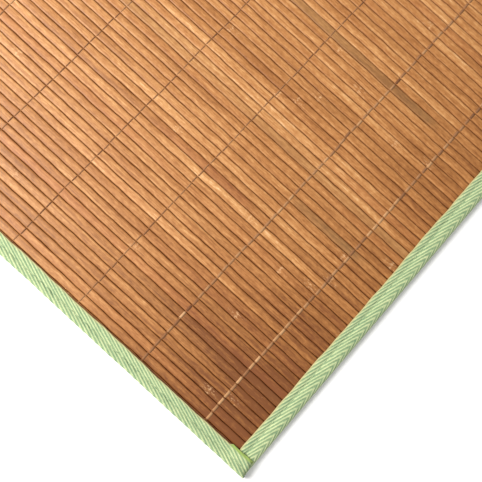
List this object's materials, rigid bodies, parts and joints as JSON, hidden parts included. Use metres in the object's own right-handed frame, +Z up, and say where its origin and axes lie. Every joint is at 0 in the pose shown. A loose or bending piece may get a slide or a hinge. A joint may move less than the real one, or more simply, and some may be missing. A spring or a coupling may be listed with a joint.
{
  "type": "bamboo rug",
  "caption": "Flat rectangular bamboo slat rug with a pale green herringbone tape folded over all four edges.",
  "frame": {"origin": "centre of the rug's underside, on the surface it lies on", "axes": "+Z up, +X along the long side, slats run along Y; the pictured corner is at -X -Y"},
  "size_m": [0.9, 0.6, 0.0061],
  "materials": {
    "bamboo": "carbonised caramel bamboo, planed and thinly sealed",
    "herringbone_tape": "pale green cotton twill tape, matt"
  },
  "bodies": {
    "root": {"slat_field": "bamboo", "tape_front": "herringbone_tape", "tape_back": "herringbone_tape", "tape_left": "herringbone_tape", "tape_right": "herringbone_tape"}
  },
  "joints": []
}
